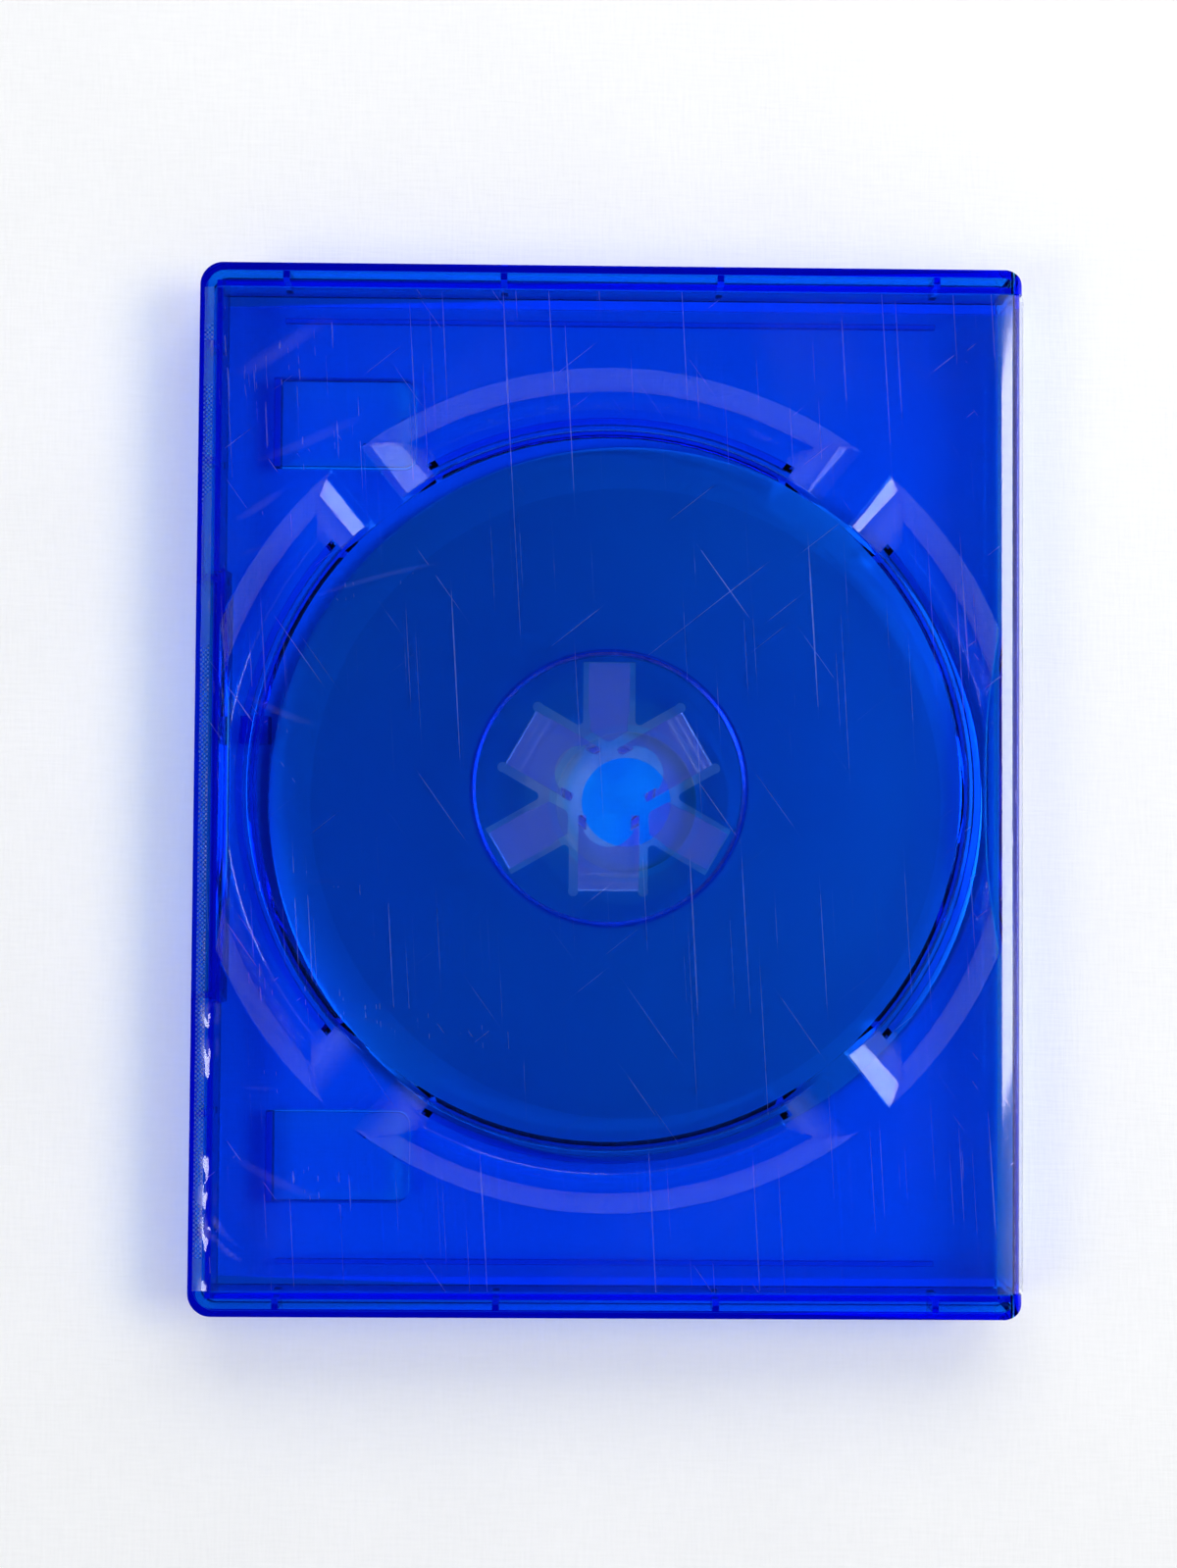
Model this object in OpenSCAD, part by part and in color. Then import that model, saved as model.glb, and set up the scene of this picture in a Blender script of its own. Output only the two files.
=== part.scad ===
/* [Case] */
// Room beside the disc, from its edge in the well to the outside of the case
side_room = 7.5; // [7.2:0.1:9]
// Height of the case, along the spine
case_h = 171.5; // [160:0.5:190]
// Thickness of the closed case
case_t = 14; // [13.5:0.1:16]
// Thickness of the moulded panels and of the well
wall = 1; // [0.8:0.05:1.2]
// Thickness of the outer rim walls
rim_wall = 1.1; // [0.9:0.05:1.3]
// Radius of the corners at the opening edge
corner_r = 3.8; // [2:0.2:5]
// Radius of the corners at the spine
spine_corner_r = 3; // [2:0.2:4]
// Height of the front cover's rim wall
front_rim_h = 6.8; // [6:0.1:7]
// Gap between the two rims when the case is shut
rim_gap = 0.2; // [0.1:0.05:0.4]

/* [End bars and ribs] */
// Width of the raised bars that frame the film at both ends
bar_w = 4; // [3.5:0.1:5]
// Height of the bars over the film panels
bar_rise = 0.4; // [0.35:0.05:0.6]
// Thickness of the ribs between the rim and the inner lip
rib_t = 1.1; // [0.8:0.1:1.5]
// Spacing of the ribs along the end bars
bar_rib_pitch = 35.7; // [30:0.1:37]
// Spacing of the ribs along the opening edge, beside the thumb recess
side_rib_pitch = 19.25; // [15:0.25:21]
// Distance of the lip's outer face from the outside at the end bars
lip_inset = 2.7; // [2.4:0.1:3]
// Distance of the lip's outer face from the outside at the opening edge
side_lip_inset = 2.6; // [2.3:0.1:2.8]
// How far the lip reaches down inside the front rim
lip_overlap = 1.2; // [0.6:0.1:2]

/* [Thumb recess] */
// Length of the recess in the opening edge
recess_l = 68; // [50:1:80]
// Depth of the recess
recess_d = 2; // [1.5:0.1:2.2]
// Clearance between the recessed wall and the lip behind it
recess_gap = 0.4; // [0.3:0.05:0.6]

/* [Spine] */
// Clearance round the hinge lines
hinge_gap = 0.08; // [0.05:0.01:0.15]
// Gap between the spine and the ends of the rim walls
spine_gap = 0.4; // [0.3:0.05:0.8]

/* [Disc] */
// Diameter of the disc
disc_d = 120; // [120:1:120]
// Diameter of the disc's hole
disc_hole_d = 15; // [15:0.5:15]
// Thickness of the disc
disc_t = 1.2; // [1.1:0.05:1.3]
// Shift of the loose disc towards the spine
disc_dx = 3.1; // [-3:0.1:3.5]
// Shift of the loose disc along the spine
disc_dy = -2; // [-5:0.1:5]

/* [Well] */
// Clearance round the disc's edge in the well
well_gap = 0.5; // [0.4:0.1:1]
// Width of the ledge under the disc's edge
ledge_w = 2; // [1.6:0.1:3]
// Depth of the ledge below the back of the panel
ledge_drop = 3; // [2.5:0.1:3.5]
// Depth of the crest below the back of the panel
crest_drop = 4.9; // [4.5:0.1:5.2]
// Width of the crest's groove
crest_w = 1.8; // [1.2:0.1:2.2]
// Radius of the bend between the crest's groove and the cone
crest_bend_r = 1.2; // [0.6:0.1:1.6]
// Width of the cone that climbs from the crest to the panel
cone_w = 5.7; // [4.5:0.1:6.5]
// Distance of the well's flat sides from the outside of the case
well_inset = 3.8; // [3.5:0.1:4.2]
// How far the well's flat sides lean in towards the crest
well_draft = 1.2; // [0.6:0.1:1.6]

/* [Finger scoops] */
// Angle between each scoop and the long axis of the case
scoop_angle = 39; // [35:1:45]
// Width of a scoop at the crest
scoop_w = 23; // [18:0.5:26]

/* [Hub] */
// Radius of the hub's platform
hub_r = 21.8; // [20:0.1:23]
// Radius of the slight step round the platform
hub_step_r = 19.7; // [18:0.1:20.5]
// Depth of the platform below the back of the panel
hub_drop = 3.2; // [2.8:0.1:3.6]
// Width of the slope round the hub's upper edge
hub_edge_w = 0.5; // [0.3:0.05:0.8]
// Width of the slots beside the lift tongues
tongue_slot_w = 0.9; // [0.7:0.05:1.1]
// Half width of a lift tongue at its root
tongue_half_w = 3.4; // [3:0.1:3.8]
// Half width of a lift tongue at its tip
tongue_tip_half_w = 3.1; // [2.6:0.1:3.4]
// Distance of a tongue's root from the hub's centre
tongue_root = 20.4; // [20:0.1:20.6]
// Distance of a tongue's point from the hub's centre
tongue_point = 7.9; // [7.6:0.1:8.5]
// How far a tongue slopes towards the disc
tongue_slope = 1.3; // [0.8:0.1:1.6]
// Half width of a grip claw
claw_half_w = 5; // [4.5:0.1:5.4]
// Width of the slots beside the grip claws
claw_slot_w = 1.5; // [1.2:0.1:1.8]
// Distance of a claw's root from the hub's centre
claw_root = 16.4; // [16:0.1:17.5]
// Distance of a claw's prongs from the hub's centre
claw_tip = 5.6; // [5:0.1:6.2]
// Step of a claw away from the disc
claw_step = 1; // [0.6:0.1:1.4]
// Radius of the notch in a claw's end
notch_r = 4.5; // [4:0.1:4.7]
// Gap at the roots, where the tongues and claws bend
root_gap = 0.15; // [0.12:0.01:0.2]

/* [Front cover] */
// Length of a booklet clip
clip_l = 23.8; // [18:0.2:26]
// Width of a booklet clip
clip_w = 15; // [10:0.5:18]
// Distance of the clips' inner edge from the middle of the case
clip_y = 54; // [50:0.5:60]
// Distance of the clips' stem from the opening edge
clip_inset = 10.9; // [9:0.1:13]
// Space for the booklet under a clip
clip_room = 1.8; // [1.2:0.1:2.2]
// Thickness of a clip
clip_t = 0.9; // [0.8:0.05:1.1]
// Distance of the stiffening ribs from the ends of the case
rib_inset = 6.75; // [5:0.25:9]
// Length of the stiffening ribs
rib_l = 110; // [90:1:115]
// Size of the square closing stop
stop_w = 4.6; // [3:0.1:5]

/* [Film] */
// Thickness of the clear film
film_t = 0.18; // [0.12:0.02:0.25]
// Gap between the film and the case
film_gap = 0.02; // [0.01:0.01:0.05]
// Distance of the film's welded edge from the opening edge
film_inset = 2.9; // [2:0.1:5]

/* [Hidden] */
$fn = 96;
eps = 0.01;

plastic = [0.02, 0.12, 0.78];
film_colour = [0.85, 0.9, 1, 0.35];
disc_colour = [0.35, 0.36, 0.42];

// Places of the main faces
case_w = disc_d + 2 * side_room;
half_w = case_w / 2;
half_h = case_h / 2;
slab_r = wall / 2;
pad_r = slab_r + bar_rise;
hinge_x = half_w - pad_r;
front_out_z = bar_rise;
front_in_z = front_out_z + wall;
front_hinge_z = front_out_z + slab_r;
rear_out_z = case_t - bar_rise;
rear_in_z = rear_out_z - wall;
rear_hinge_z = rear_out_z - slab_r;
film_half_h = half_h - bar_w;
film_x = -half_w + film_inset;
film_side_gap = 0.2;
film_hinge_gap = 0.3;
wall_end_x = hinge_x - slab_r - spine_gap;
rear_rim_z = front_rim_h + rim_gap;
lip_z = front_rim_h - lip_overlap;
lip_notch_over = 0.3;

// The well, as radii and heights of the wall's two faces
disc_r = disc_d / 2;
disc_lift = 0.02;
stack_ring_in = 16.6;
stack_ring_out = 17;
stack_ring_d = 0.15;
crest_in_r = disc_r + well_gap;
crest_out_r = crest_in_r + wall + crest_w;
ledge_r = crest_in_r - ledge_w;
well_r = crest_out_r + cone_w;
ledge_z = rear_in_z - ledge_drop;
seat_draft = 0.1;
crest_z = rear_in_z - crest_drop;
well_half_w = half_w - well_inset;
cone_angle = atan2(crest_drop, cone_w);
cone_shift = wall / sin(cone_angle);
cone_run = (rear_out_z - crest_z) / tan(cone_angle);
bend_x = crest_out_r - crest_bend_r * tan(cone_angle / 2);
bend_z = crest_z + wall + crest_bend_r;
bend_steps = 6;
scoop_over = 0.3;
scoop_rise = crest_drop + scoop_over;
scoop_r = (pow(scoop_w / 2, 2) + pow(scoop_rise, 2)) / (2 * scoop_rise);
scoop_z = rear_in_z + scoop_over - scoop_r;
scoop_from = ledge_r - wall;
scoop_to = well_r + cone_shift + 1;
scoop_turns = [90 - scoop_angle, 90 + scoop_angle, 270 - scoop_angle, 270 + scoop_angle];

// The hub
hub_z = rear_in_z - hub_drop;
hub_out_z = hub_z + wall;
step_d = 0.3;
root_r = (wall - step_d) / 2;
root_z = hub_z + root_r;
root_end = root_r + root_gap;
tongue_turns = [90, 210, 330];
claw_turns = [30, 150, 270];
tongue_cut = tongue_half_w + tongue_slot_w;
claw_cut = claw_half_w + claw_slot_w;
flex_flat = 0.5;
tongue_bend = tongue_root - flex_flat;
tongue_knee = 11.8;
tongue_shoulder = 9.6;
tongue_nib = 0.4;
tongue_fold = 0.2;
dimple_r = 0.85;
dimple_at = 9.3;
web_tip_r = 0.8;
tip_over = 0.03;
claw_high_from = 13.6;
claw_low_to = claw_root - flex_flat;
claw_rib_w = 0.8;
claw_rib_h = 0.8;
lug_in_r = 6.2;
lug_out_r = disc_hole_d / 2 - 0.2;
hook_out_r = disc_hole_d / 2 + 0.3;
lug_reach = 1;
lug_w = 1.3;
lug_foot = 1.2;
lug_chamfer = 0.3;
hook_slope = 0.5;
lug_z = hub_z - disc_t - lug_reach;
lug_y = claw_half_w - lug_w / 2;

// The front cover
clip_x = -half_w + clip_inset;
clip_z = front_in_z + clip_room;
clip_corner_r = 2;
clip_stem_t = 1.1;
rib_y = half_h - rib_inset;
front_rib_h = 1.2;
front_rib_t = 0.8;
stop_inset = 6.2;
stop_x = -half_w + stop_inset;
stop_y = 7.2;
stop_h = 4.4;
recess_wall_x = -half_w + recess_d;
recess_lip_x = recess_wall_x + rim_wall + recess_gap;

// The case's outline: two corners at the opening edge, two at the spine
module case_outline(inset = 0) {
    left_r = corner_r - inset;
    right_r = spine_corner_r - inset;
    intersection() {
        square([case_w - 2 * inset, case_h - 2 * inset], center = true);
        union() {
            for (s = [-1, 1])
                translate([-half_w + corner_r, s * (half_h - corner_r)]) circle(left_r);
            translate([-half_w + inset, -half_h + corner_r])
                square([corner_r, case_h - 2 * corner_r]);
            translate([-half_w + corner_r, -half_h + inset])
                square([case_w - corner_r - spine_corner_r, case_h - 2 * inset]);
            translate([half_w - spine_corner_r, -half_h + spine_corner_r])
                square([spine_corner_r - inset, case_h - 2 * spine_corner_r]);
            for (s = [-1, 1])
                translate([half_w - spine_corner_r, s * (half_h - spine_corner_r)])
                    circle(right_r);
        }
    }
}

// A cylinder along Y, for the hinge lines
module along_spine(r, length, x, z) {
    translate([x, length / 2, z]) rotate([90, 0, 0]) cylinder(r = r, h = length);
}

// Everything of a cover that would touch the spine
module hinge_clearance(hinge_z) {
    along_spine(slab_r + hinge_gap, case_h + 2, hinge_x, hinge_z);
    for (s = [-1, 1])
        translate([0, s * (half_h - bar_w / 2), 0])
            along_spine(pad_r + hinge_gap, bar_w + 2 * hinge_gap, hinge_x, hinge_z);
    translate([hinge_x, -half_h - 1, hinge_z - case_t])
        cube([case_w, case_h + 2, 2 * case_t]);
    translate([hinge_x - slab_r - hinge_gap, -half_h - 1, front_hinge_z])
        cube([case_w, case_h + 2, rear_hinge_z - front_hinge_z]);
}

// The film's shallow bed, open towards the spine
module film_bed(z, h) {
    translate([film_x - film_hinge_gap, -film_half_h, z]) cube([case_w, 2 * film_half_h, h]);
}

module front_rim() {
    difference() {
        linear_extrude(front_rim_h) difference() {
            case_outline();
            case_outline(rim_wall);
            translate([wall_end_x, -half_h]) square([case_w, case_h]);
        }
        translate([-half_w - 1, -recess_l / 2, front_in_z])
            cube([rim_wall + 2, recess_l, front_rim_h]);
    }
}

// The set-back wall that leaves room for a thumb, with its two return walls
module thumb_wall() {
    translate([recess_wall_x, -recess_l / 2, front_in_z - wall / 2])
        cube([rim_wall, recess_l, front_rim_h - front_in_z + wall / 2]);
    for (s = [-1, 1])
        translate([-half_w, s * recess_l / 2 - (s > 0 ? 0 : rim_wall), front_in_z - wall / 2])
            cube([recess_d + rim_wall, rim_wall, front_rim_h - front_in_z + wall / 2]);
}

module clip_outline() {
    square([clip_l - clip_corner_r, clip_w]);
    translate([0, clip_corner_r]) square([clip_l, clip_w - 2 * clip_corner_r]);
    for (y = [clip_corner_r, clip_w - clip_corner_r])
        translate([clip_l - clip_corner_r, y]) circle(clip_corner_r);
}

module booklet_clip() {
    translate([clip_x, clip_y, front_in_z - wall / 2])
        cube([clip_stem_t, clip_w, clip_z + clip_t - front_in_z + wall / 2]);
    translate([clip_x, clip_y, clip_z]) linear_extrude(clip_t) clip_outline();
}

// The window that the mould leaves in the panel under a clip
module clip_window() {
    translate([clip_x + clip_stem_t, clip_y, -eps])
        linear_extrude(front_in_z + 2 * eps)
            intersection() {
                translate([-clip_stem_t, 0]) clip_outline();
                square([clip_l, clip_w]);
            }
}

module front_cover() {
    color(plastic) difference() {
        union() {
            linear_extrude(front_in_z) case_outline();
            front_rim();
            thumb_wall();
            for (s = [0, 1]) mirror([0, s, 0]) booklet_clip();
            for (s = [-1, 1])
                translate([-rib_l / 2, s * rib_y - front_rib_t / 2, front_in_z - wall / 2])
                    cube([rib_l, front_rib_t, front_rib_h + wall / 2]);
            translate([stop_x, stop_y, front_in_z - wall / 2])
                cube([stop_w, stop_w, stop_h + wall / 2]);
        }
        film_bed(-eps, front_out_z + eps);
        hinge_clearance(front_hinge_z);
        for (s = [0, 1]) mirror([0, s, 0]) clip_window();
    }
}

module spine() {
    color(plastic) intersection() {
        union() {
            translate([hinge_x - slab_r, -half_h, front_hinge_z])
                cube([2 * slab_r, case_h, rear_hinge_z - front_hinge_z]);
            for (z = [front_hinge_z, rear_hinge_z]) along_spine(slab_r, case_h, hinge_x, z);
            for (s = [-1, 1]) translate([0, s * (half_h - bar_w / 2), 0]) spine_pad();
        }
        translate([0, 0, -1]) linear_extrude(case_t + 2) case_outline();
    }
}

// The thicker end of the spine, level with the bars' outer faces
module spine_pad() {
    intersection() {
        union() {
            for (z = [front_hinge_z, rear_hinge_z]) along_spine(pad_r, bar_w, hinge_x, z);
            translate([hinge_x, -bar_w / 2, front_hinge_z])
                cube([pad_r, bar_w, rear_hinge_z - front_hinge_z]);
        }
        translate([hinge_x - slab_r, -bar_w / 2, 0]) cube([pad_r + slab_r, bar_w, case_t]);
    }
}

// The bend from the crest's groove up into the cone, as points of an arc
function crest_bend(r) = [for (i = [0:bend_steps]) let (a = cone_angle * i / bend_steps)
    [bend_x + r * sin(a), bend_z - r * cos(a)]];

// The wall of the well from the floor's edge to the panel, as one turned profile
module well_profile() {
    polygon(concat(
        [[ledge_r - wall, rear_in_z], [ledge_r, ledge_z],
         [crest_in_r - seat_draft, ledge_z], [crest_in_r, crest_z]],
        crest_bend(crest_bend_r + wall),
        [[crest_out_r + cone_shift - wall / tan(cone_angle) + cone_run, rear_out_z],
         [ledge_r - wall, rear_out_z]]
    ));
}

// What the wall leaves open above it
module groove_profile() {
    polygon(concat(
        [[ledge_r, rear_out_z + eps], [ledge_r + wall, ledge_z + wall],
         [crest_in_r + wall - seat_draft, ledge_z + wall], [crest_in_r + wall, crest_z + wall]],
        crest_bend(crest_bend_r),
        [[well_r, rear_out_z + eps]]
    ));
}

// The flat sides that clip the well, leaning in towards the crest
module well_sides(grow, low_z) {
    high_x = well_half_w + grow;
    low_x = high_x - well_draft;
    translate([0, half_h, 0]) rotate([90, 0, 0]) linear_extrude(case_h)
        polygon([[-low_x, low_z], [low_x, low_z], [low_x, crest_z + wall],
                 [high_x, rear_out_z], [high_x, case_t], [-high_x, case_t],
                 [-high_x, rear_out_z], [-low_x, crest_z + wall]]);
}

module well_block() {
    intersection() {
        rotate_extrude() well_profile();
        well_sides(wall, crest_z - 1);
    }
}

module well_groove() {
    intersection() {
        rotate_extrude() groove_profile();
        well_sides(0, crest_z);
    }
}

module finger_scoops(grow) {
    for (a = scoop_turns)
        rotate(a) translate([scoop_from - grow, 0, scoop_z]) rotate([0, 90, 0])
            cylinder(r = scoop_r + grow, h = scoop_to - scoop_from + 2 * grow);
}

// The inner lip that slides inside the front rim
module inner_lip() {
    lip_out = half_h - lip_inset;
    lip_left = -half_w + side_lip_inset;
    notch_half_l = recess_l / 2 + rim_wall + recess_gap;
    for (s = [-1, 1])
        translate([lip_left + wall / 2, s * (lip_out - wall / 2) - wall / 2, lip_z])
            cube([wall_end_x - lip_left - wall / 2, wall, rear_out_z - lip_z - wall / 2]);
    difference() {
        translate([lip_left, -lip_out, lip_z])
            cube([wall, 2 * lip_out, rear_out_z - lip_z - wall / 2]);
        translate([lip_left - 1, -notch_half_l, lip_z - 1])
            cube([wall + 2, 2 * notch_half_l, rear_rim_z - lip_z + 1 + lip_notch_over]);
    }
    translate([recess_lip_x, -notch_half_l, lip_z])
        cube([wall, 2 * notch_half_l, rear_out_z - lip_z - wall / 2]);
}

// Ribs between the rear rim and the lip
module bar_ribs() {
    for (s = [-1, 1], i = [-1.5:1:1.5])
        translate([i * bar_rib_pitch - rib_t / 2, s * (half_h - lip_inset / 2) - lip_inset / 2,
                   rear_rim_z + rim_gap])
            cube([rib_t, lip_inset, rear_out_z - rear_rim_z - rim_gap - wall / 2]);
    for (s = [-1, 1], i = [0:2])
        translate([-half_w + rim_wall / 2, s * (recess_l / 2 + i * side_rib_pitch) - rib_t / 2,
                   rear_rim_z + rim_gap])
            cube([side_lip_inset, rib_t, rear_out_z - rear_rim_z - rim_gap - wall / 2]);
}

module rear_rim() {
    translate([0, 0, rear_rim_z]) linear_extrude(case_t - rear_rim_z) difference() {
        case_outline();
        case_outline(rim_wall);
        translate([wall_end_x, -half_h]) square([case_w, case_h]);
    }
}

module rear_panel() {
    translate([0, 0, rear_in_z]) linear_extrude(case_t - rear_in_z) case_outline();
}

// The raised hub: a shallow cup in the panel with a slight step round its platform
module hub_cup() {
    translate([0, 0, hub_z]) cylinder(r = hub_r + wall, h = rear_out_z - hub_z);
}

module hub_recess() {
    translate([0, 0, hub_out_z]) cylinder(r = hub_r, h = case_t);
    translate([0, 0, hub_out_z - step_d]) cylinder(r = hub_step_r, h = case_t);
    translate([0, 0, rear_out_z - hub_edge_w])
        cylinder(r1 = hub_r - eps, r2 = hub_r + hub_edge_w, h = hub_edge_w + eps);
}

module tongue_slots() {
    for (a = tongue_turns) rotate(a)
        translate([0, -tongue_cut]) square([tongue_root + root_end, 2 * tongue_cut]);
}

// The claws' slots run past their roots and end round
module claw_slots() {
    end_r = claw_slot_w / 2 + 0.1;
    for (a = claw_turns) rotate(a) {
        translate([0, -claw_cut]) square([claw_root + root_end, 2 * claw_cut]);
        for (s = [-1, 1])
            translate([claw_root + root_end, s * (claw_half_w + claw_slot_w / 2)]) circle(end_r);
    }
}

// The pointed webs between the slots end in small rounds
module web_tips() {
    for (a = tongue_turns, s = [-1, 1]) {
        u = tongue_cut;
        v = (claw_cut + u * cos(60)) / sin(60);
        cu = u + web_tip_r;
        cv = (claw_cut + web_tip_r + cu * cos(60)) / sin(60);
        reach = web_tip_r + 1;
        rotate(a) difference() {
            polygon([[v - 1, s * (u - 1)], [cv, s * (u - 1)], [cv, s * cu],
                     [cv - reach * sin(60), s * (cu + reach * cos(60))]]);
            translate([cv, s * cu]) circle(web_tip_r + tip_over);
        }
    }
}

module hub_opening() {
    translate([0, 0, hub_z - 1]) linear_extrude(wall + 2) {
        tongue_slots();
        claw_slots();
        web_tips();
    }
}

module rear_cover() {
    color(plastic) difference() {
        union() {
            difference() {
                union() {
                    rear_panel();
                    well_block();
                }
                intersection() {
                    finger_scoops(0);
                    translate([-half_w, -half_h, 0]) cube([case_w, case_h, rear_in_z]);
                }
            }
            rear_rim();
            inner_lip();
            bar_ribs();
            hub_cup();
        }
        difference() {
            well_groove();
            finger_scoops(wall);
        }
        hub_recess();
        hub_opening();
        film_bed(rear_out_z, bar_rise + eps);
        hinge_clearance(rear_hinge_z);
    }
}

// A claw's side profile, from its root over the step to its prongs
module claw_profile() {
    steps = 8;
    run = claw_low_to - claw_high_from;
    function rise(i) = claw_step * (1 - cos(180 * i / steps)) / 2;
    function at(i) = claw_low_to - run * i / steps;
    polygon(concat(
        [[claw_root, hub_z]],
        [for (i = [0:steps]) [at(i), hub_z + rise(i)]],
        [[claw_tip - 1, hub_z + claw_step], [claw_tip - 1, hub_out_z + claw_step]],
        [for (i = [steps:-1:0]) [at(i), hub_out_z - step_d + rise(i) * (1 + step_d / claw_step)]],
        [[claw_root, hub_out_z - step_d]]
    ));
}

module claw_plan() {
    difference() {
        translate([claw_tip, -claw_half_w]) square([claw_root - claw_tip, 2 * claw_half_w]);
        translate([claw_tip - 0.5, 0]) circle(notch_r);
    }
}

// The two gripping lugs: feet on the claw's prongs, and hooks turned about the hub's axis
module claw_lugs() {
    for (s = [-1, 1])
        translate([claw_tip - lug_foot, s * lug_y - lug_w / 2, hub_z + claw_step])
            cube([2 * lug_foot, lug_w, wall]);
    intersection() {
        rotate_extrude() polygon([
            [lug_in_r, hub_out_z + claw_step - eps], [lug_in_r, lug_z + lug_chamfer],
            [lug_in_r + lug_chamfer, lug_z], [lug_out_r, lug_z],
            [hook_out_r, lug_z + hook_slope], [lug_out_r, hub_z - disc_t],
            [lug_out_r, hub_out_z + claw_step - eps]
        ]);
        for (s = [-1, 1])
            translate([claw_tip - lug_foot, s * lug_y - lug_w / 2, 0])
                cube([2 * lug_foot, lug_w, case_t]);
    }
}

// The round root that a claw or tongue bends about
module flex_root(at, width) {
    translate([at, width / 2, root_z]) rotate([90, 0, 0]) cylinder(r = root_r, h = width);
}

module grip_claw(turn) {
    color(plastic) rotate(turn) {
        flex_root(claw_root, 2 * claw_half_w);
        intersection() {
            translate([0, claw_half_w, 0]) rotate([90, 0, 0])
                linear_extrude(2 * claw_half_w) claw_profile();
            linear_extrude(case_t) claw_plan();
        }
        for (s = [-1, 1])
            translate([claw_tip + lug_foot, s * (claw_half_w - claw_rib_w / 2) - claw_rib_w / 2,
                       hub_out_z + claw_step - eps])
                cube([claw_high_from - claw_tip - lug_foot, claw_rib_w, claw_rib_h]);
        claw_lugs();
    }
}

// A tongue's side profile: flat root, slope towards the disc, flat tip
module tongue_profile() {
    low = hub_z - tongue_slope;
    polygon([
        [tongue_root, hub_z], [tongue_bend, hub_z], [tongue_knee, low],
        [tongue_point - 1, low], [tongue_point - 1, low + wall],
        [tongue_knee + tongue_fold, low + wall], [tongue_bend + tongue_fold / 2, hub_out_z - step_d],
        [tongue_root, hub_out_z - step_d]
    ]);
}

module tongue_plan() {
    polygon([
        [tongue_root, -tongue_half_w], [tongue_root, tongue_half_w],
        [tongue_knee + 1, tongue_half_w], [tongue_knee, tongue_tip_half_w],
        [tongue_shoulder, tongue_tip_half_w], [tongue_point, tongue_nib], [tongue_point, -tongue_nib],
        [tongue_shoulder, -tongue_tip_half_w], [tongue_knee, -tongue_tip_half_w],
        [tongue_knee + 1, -tongue_half_w]
    ]);
}

module lift_tongue(turn) {
    low = hub_z - tongue_slope;
    color(plastic) rotate(turn) difference() {
        union() {
            flex_root(tongue_root, 2 * tongue_half_w);
            intersection() {
                translate([0, tongue_half_w, 0]) rotate([90, 0, 0])
                    linear_extrude(2 * tongue_half_w) tongue_profile();
                linear_extrude(case_t) tongue_plan();
            }
        }
        translate([dimple_at, 0, low + wall / 2]) cylinder(r = dimple_r, h = wall);
    }
}

module grip_claw_1() grip_claw(claw_turns[0]);
module grip_claw_2() grip_claw(claw_turns[1]);
module grip_claw_3() grip_claw(claw_turns[2]);
module lift_tongue_1() lift_tongue(tongue_turns[0]);
module lift_tongue_2() lift_tongue(tongue_turns[1]);
module lift_tongue_3() lift_tongue(tongue_turns[2]);

module panel_film(z) {
    color(film_colour) translate([film_x, -film_half_h + film_side_gap, z])
        cube([hinge_x - film_hinge_gap - film_x, 2 * (film_half_h - film_side_gap), film_t]);
}

module front_film() panel_film(front_out_z - film_gap - film_t);
module rear_film() panel_film(rear_out_z + film_gap);

module spine_film() {
    color(film_colour)
        translate([hinge_x + slab_r + film_gap, -film_half_h + film_side_gap, front_hinge_z])
            cube([film_t, 2 * (film_half_h - film_side_gap), rear_hinge_z - front_hinge_z]);
}

module game_disc() {
    color(disc_colour) translate([disc_dx, disc_dy, front_in_z + disc_lift]) difference() {
        cylinder(r = disc_r, h = disc_t);
        translate([0, 0, -1]) cylinder(d = disc_hole_d, h = disc_t + 2);
        translate([0, 0, disc_t - stack_ring_d]) difference() {
            cylinder(r = stack_ring_out, h = 1);
            translate([0, 0, -1]) cylinder(r = stack_ring_in, h = 3);
        }
    }
}

front_cover();
spine();
rear_cover();
grip_claw_1();
grip_claw_2();
grip_claw_3();
lift_tongue_1();
lift_tongue_2();
lift_tongue_3();
front_film();
spine_film();
rear_film();
game_disc();
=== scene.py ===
import math

import bpy
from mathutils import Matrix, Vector, noise


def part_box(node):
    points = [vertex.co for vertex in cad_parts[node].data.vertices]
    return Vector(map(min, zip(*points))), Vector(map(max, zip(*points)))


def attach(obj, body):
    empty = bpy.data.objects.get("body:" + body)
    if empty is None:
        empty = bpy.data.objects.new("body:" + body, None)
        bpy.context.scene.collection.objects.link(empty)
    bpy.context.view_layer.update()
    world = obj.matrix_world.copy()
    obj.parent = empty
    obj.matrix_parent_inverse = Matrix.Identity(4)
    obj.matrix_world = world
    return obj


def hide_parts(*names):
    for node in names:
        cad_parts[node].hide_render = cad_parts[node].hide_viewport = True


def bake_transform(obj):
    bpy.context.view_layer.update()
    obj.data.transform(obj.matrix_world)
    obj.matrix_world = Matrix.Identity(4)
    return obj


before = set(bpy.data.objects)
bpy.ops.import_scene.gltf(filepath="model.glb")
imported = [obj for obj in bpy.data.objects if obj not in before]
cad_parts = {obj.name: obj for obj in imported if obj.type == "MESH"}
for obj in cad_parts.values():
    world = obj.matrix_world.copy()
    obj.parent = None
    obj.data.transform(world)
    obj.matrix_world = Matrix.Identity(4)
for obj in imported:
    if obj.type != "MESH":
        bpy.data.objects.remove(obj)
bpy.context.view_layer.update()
scene = bpy.context.scene
mm = 0.001
perMetre = 1000.0
print("stage: frame loaded")


# small helpers

def pickNone():
    bpy.ops.object.select_all(action="DESELECT")


def makeActive(piece):
    pickNone()
    piece.select_set(True)
    bpy.context.view_layer.objects.active = piece


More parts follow.
